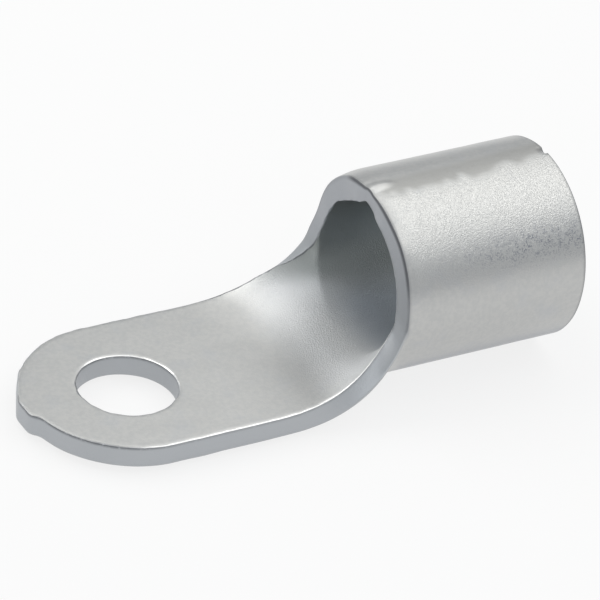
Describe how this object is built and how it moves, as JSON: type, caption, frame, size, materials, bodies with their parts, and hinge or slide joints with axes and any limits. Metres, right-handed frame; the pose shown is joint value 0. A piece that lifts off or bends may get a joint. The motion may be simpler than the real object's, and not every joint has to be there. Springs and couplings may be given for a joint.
{
  "type": "ring terminal",
  "caption": "Heavy-duty crimp ring terminal: flat tongue with a stud hole, curling up through a trough-shaped neck into a rolled, seamed barrel.",
  "frame": {"origin": "on the stud hole's axis, at the tongue's underside", "axes": "+X along the terminal from the tongue to the barrel's open end, +Z along the stud hole's axis, to the side that the barrel rises on"},
  "size_m": [0.0472, 0.0182, 0.0171],
  "materials": {
    "tinned_copper": "matte tin plating over copper, finely mottled, with slightly darker sheared edges"
  },
  "bodies": {
    "root": {"ring_terminal": "tinned_copper"}
  },
  "joints": []
}
